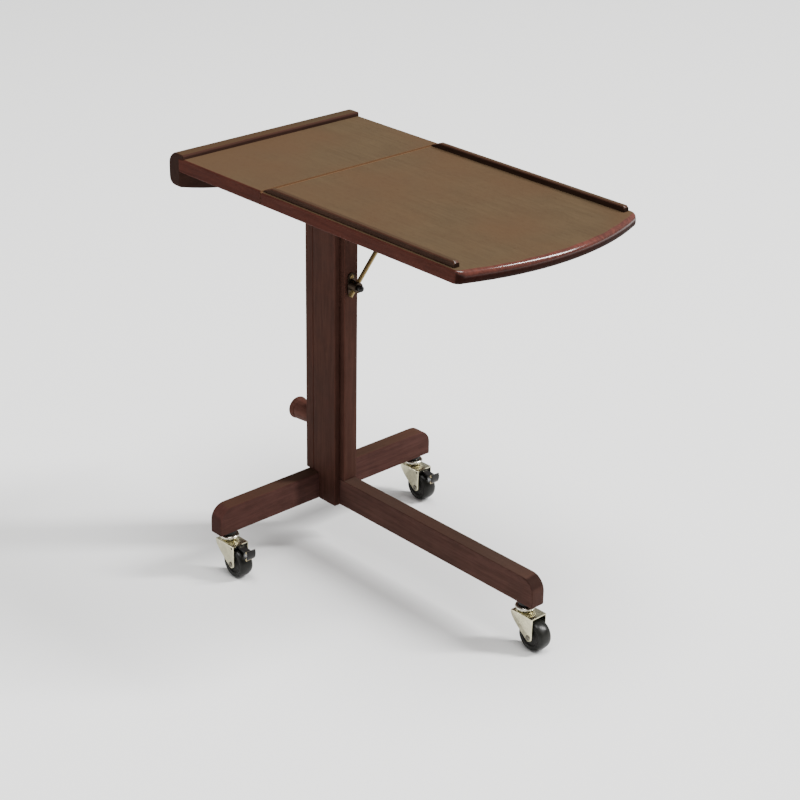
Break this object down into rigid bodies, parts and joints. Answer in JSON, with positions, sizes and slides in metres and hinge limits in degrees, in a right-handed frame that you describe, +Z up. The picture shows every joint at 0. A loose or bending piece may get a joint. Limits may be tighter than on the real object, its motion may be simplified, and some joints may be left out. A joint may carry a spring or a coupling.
{
  "type": "laptop cart",
  "caption": "Wooden laptop cart: a T base on braked casters, a column with a lifting post, a fixed small shelf and a leaf that tilts about its long axis, held by a clamped stay rod.",
  "frame": {"origin": "on the floor, under the middle of the cart's bounding box", "axes": "+X from the end rail to the curved end of the leaf, +Y to the side where the stay meets the leaf, +Z up"},
  "size_m": [0.7696, 0.516, 0.754],
  "materials": {
    "walnut": "dark walnut stain under satin lacquer",
    "beech": "plain fluted dowel",
    "brass": "antique brass",
    "dark_bronze": "dark bronze",
    "satin_zinc": "satin zinc plate",
    "steel": "bright steel",
    "black_plastic": "moulded black",
    "dark_hub": "moulded dark grey",
    "black_rubber": "smooth black tread"
  },
  "bodies": {
    "base": {"cross_foot": "walnut", "front_foot": "walnut", "foot_bolt": "steel", "barrel_nut": "steel", "side_plate_near": "walnut", "side_plate_far": "walnut", "back_board": "walnut", "caster_socket_front": "black_plastic", "caster_socket_near": "black_plastic", "caster_socket_far": "black_plastic", "caster_stem_front": "satin_zinc", "caster_stem_near": "satin_zinc", "caster_stem_far": "satin_zinc"},
    "lifting_post": {"post": "walnut", "threaded_insert": "brass", "guide_bolt": "steel", "knob_washer": "steel", "small_panel": "walnut", "end_rail": "walnut", "rail_dowel_near": "beech", "rail_dowel_far": "beech", "cleat_near": "walnut", "cleat_far": "walnut", "pivot_tube": "steel", "tube_lock_pin": "steel", "tube_end_cap": "black_plastic", "clamp_plate": "dark_bronze", "clamp_screw_upper": "brass", "clamp_screw_lower": "brass"},
    "height_clamp": {"height_knob": "walnut", "height_bolt": "steel"},
    "leaf": {"leaf_panel": "walnut", "ledge_near": "walnut", "ledge_far": "walnut", "bearing_block_inner": "walnut", "bearing_block_outer": "walnut", "stay_bracket": "brass", "stay_pin": "brass"},
    "stay": {"stay_rod": "brass"},
    "clamp": {"clamp_block": "dark_bronze"},
    "tilt_clamp": {"tilt_knob": "black_plastic"},
    "front_fork": {"caster_fork_front": "satin_zinc", "caster_axle_front": "steel"},
    "near_fork": {"caster_fork_near": "satin_zinc", "caster_axle_near": "steel"},
    "far_fork": {"caster_fork_far": "satin_zinc", "caster_axle_far": "steel"},
    "front_wheel": {"wheel_hub_front": "dark_hub", "wheel_tyre_front": "black_rubber"},
    "near_wheel": {"wheel_hub_near": "dark_hub", "wheel_tyre_near": "black_rubber"},
    "far_wheel": {"wheel_hub_far": "dark_hub", "wheel_tyre_far": "black_rubber"},
    "near_brake": {"brake_pedal_near": "black_plastic"},
    "far_brake": {"brake_pedal_far": "black_plastic"}
  },
  "joints": [
    {"name": "post_lift", "type": "slide", "parent": "base", "child": "lifting_post", "axis": [0, 0, 1], "range_m": [0, 0.25]},
    {"name": "height_knob_turn", "type": "hinge", "parent": "lifting_post", "child": "height_clamp", "pos_m": [-0.22565, 0, 0.2319], "axis": [1, 0, 0], "continuous": true},
    {"name": "leaf_tilt", "type": "hinge", "parent": "lifting_post", "child": "leaf", "pos_m": [-0.12845, 0, 0.7025], "axis": [-1, 0, 0], "range_deg": [0, 35]},
    {"name": "stay_pivot", "type": "hinge", "parent": "leaf", "child": "stay", "pos_m": [-0.11915, 0.156, 0.7065], "axis": [-1, 0, 0], "range_deg": [-21, 0]},
    {"name": "clamp_swivel", "type": "hinge", "parent": "lifting_post", "child": "clamp", "pos_m": [-0.13245, 0, 0.5254], "axis": [-1, 0, 0], "range_deg": [0, 15]},
    {"name": "tilt_knob_turn", "type": "hinge", "parent": "clamp", "child": "tilt_clamp", "pos_m": [-0.11915, 0, 0.5254], "axis": [1, 0, 0], "continuous": true},
    {"name": "front_swivel", "type": "hinge", "parent": "base", "child": "front_fork", "pos_m": [0.32455, 0, 0.067], "axis": [0, 0, 1], "continuous": true},
    {"name": "near_swivel", "type": "hinge", "parent": "base", "child": "near_fork", "pos_m": [-0.20485, -0.2285, 0.067], "axis": [0, 0, 1], "continuous": true},
    {"name": "far_swivel", "type": "hinge", "parent": "base", "child": "far_fork", "pos_m": [-0.20485, 0.2285, 0.067], "axis": [0, 0, 1], "continuous": true},
    {"name": "front_roll", "type": "hinge", "parent": "front_fork", "child": "front_wheel", "pos_m": [0.35005, 0, 0.0285], "axis": [0, 1, 0], "continuous": true},
    {"name": "near_roll", "type": "hinge", "parent": "near_fork", "child": "near_wheel", "pos_m": [-0.17935, -0.2285, 0.0285], "axis": [0, 1, 0], "continuous": true},
    {"name": "far_roll", "type": "hinge", "parent": "far_fork", "child": "far_wheel", "pos_m": [-0.17935, 0.2285, 0.0285], "axis": [0, 1, 0], "continuous": true},
    {"name": "near_brake_press", "type": "hinge", "parent": "near_fork", "child": "near_brake", "pos_m": [-0.17585, -0.2285, 0.0621], "axis": [0, 1, 0], "range_deg": [0, 10]},
    {"name": "far_brake_press", "type": "hinge", "parent": "far_fork", "child": "far_brake", "pos_m": [-0.17585, 0.2285, 0.0621], "axis": [0, 1, 0], "range_deg": [0, 10]}
  ],
  "couplings": [
    {"joint": "clamp_swivel", "follows": "leaf_tilt", "ratio": 0.412},
    {"joint": "stay_pivot", "follows": "leaf_tilt", "ratio": -0.588}
  ]
}
